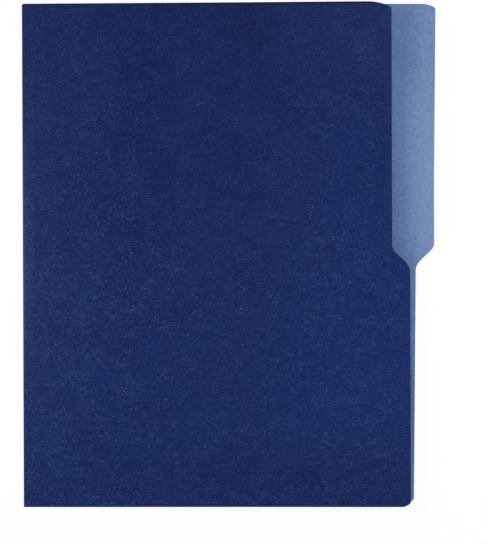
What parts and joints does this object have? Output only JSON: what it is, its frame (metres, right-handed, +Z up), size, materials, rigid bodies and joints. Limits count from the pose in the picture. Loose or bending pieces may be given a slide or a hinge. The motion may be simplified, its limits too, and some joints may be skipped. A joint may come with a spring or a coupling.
{
  "type": "file folder",
  "caption": "Letter-size file folder of two-tone card with a half-cut tab and expansion scores, lying closed with its front leaf slightly raised.",
  "frame": {"origin": "centre of the closed folder's bounding box, at the level of the surface that its back leaf lies on", "axes": "+Z up, from the back leaf to the front leaf; +Y along the fold, towards the end with the tab; +X from the fold to the free edges"},
  "size_m": [0.2432, 0.2954, 0.009],
  "materials": {
    "navy_outside": "matte dyed card, navy outside with fine pale fibre flecks, light blue on its inner face",
    "light_blue_inside": "matte dyed card, light blue on the inner face that shows at the tab, navy on its outer face"
  },
  "bodies": {
    "back_leaf": {"back_leaf": "light_blue_inside", "fold_crease": "navy_outside"},
    "spine_strips": {"inner_expansion_strip": "navy_outside", "inner_score_crease": "navy_outside", "outer_expansion_strip": "navy_outside", "outer_score_crease": "navy_outside"},
    "front_leaf": {"front_leaf": "navy_outside"}
  },
  "joints": [
    {"name": "fold_opening", "type": "hinge", "parent": "back_leaf", "child": "spine_strips", "pos_m": [-0.12116, 0, 0.00048], "axis": [0, -1, 0], "range_deg": [-2.04, 177.96], "deforming": ["fold_crease"]},
    {"name": "outer_score_bend", "type": "hinge", "parent": "spine_strips", "child": "front_leaf", "pos_m": [-0.10946, 0, 0.00124], "axis": [0, -1, 0], "range_deg": [0, 90], "deforming": ["outer_score_crease"]}
  ]
}
